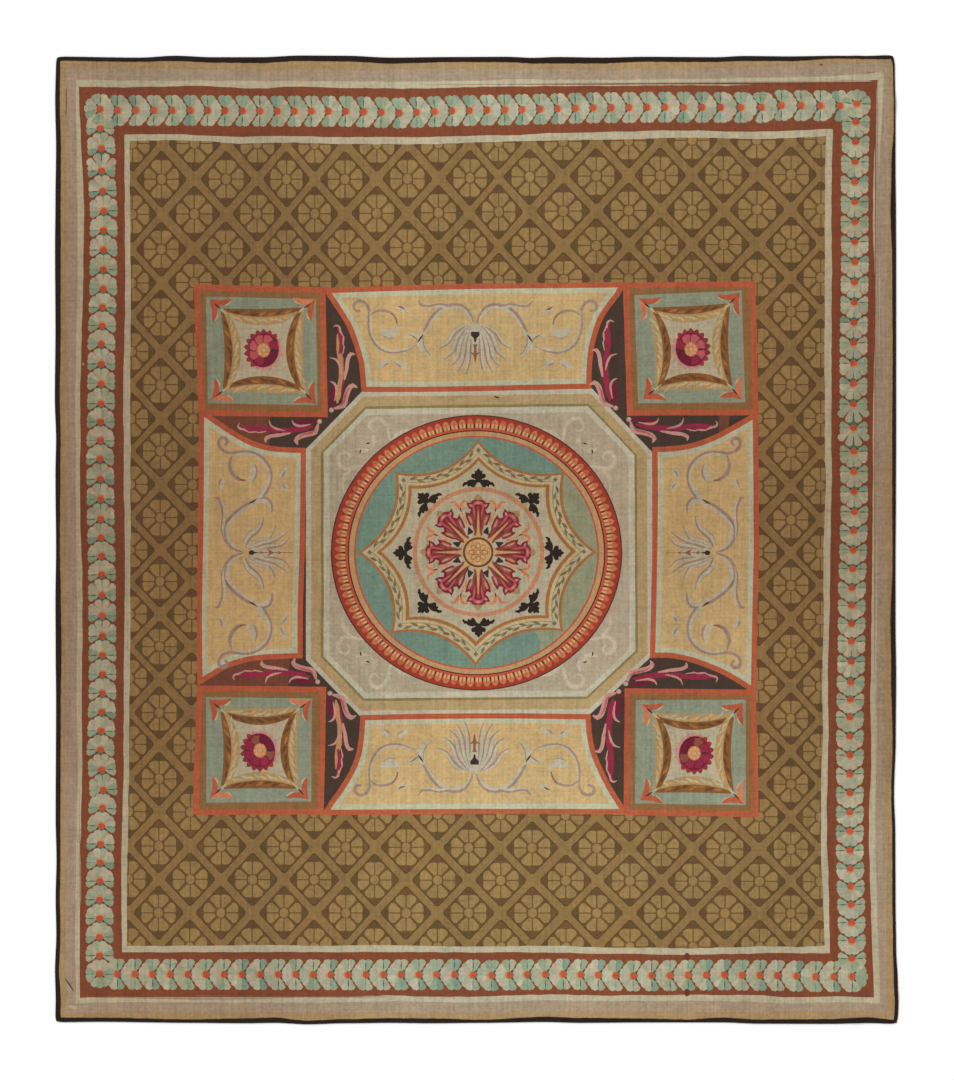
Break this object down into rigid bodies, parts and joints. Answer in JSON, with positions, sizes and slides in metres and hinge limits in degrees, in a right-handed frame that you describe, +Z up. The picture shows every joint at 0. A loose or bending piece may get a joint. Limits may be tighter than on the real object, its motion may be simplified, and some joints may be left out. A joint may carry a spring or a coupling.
{
  "type": "aubusson rug",
  "caption": "Room-size flat tapestry-woven rug lying on the floor, with a round centre medallion, a lattice field, a flower-chain border and a dark sewn-on edge tape.",
  "frame": {"origin": "middle of the rug's outline, on the floor it lies on", "axes": "+X to the rug's right and +Y to its top as the picture shows it, +Z up from the floor through the face"},
  "size_m": [4.0168, 4.614, 0.0051],
  "materials": {
    "wool_weave": "matte flat weave of dyed wool, fine ribs, faded and worn",
    "dark_tape": "matte near-black brown woven tape, sewn on by hand"
  },
  "bodies": {
    "root": {"woven_sheet": "wool_weave", "edge_tape_top": "dark_tape", "edge_tape_bottom": "dark_tape", "edge_tape_left": "dark_tape", "edge_tape_right": "dark_tape"}
  },
  "joints": []
}
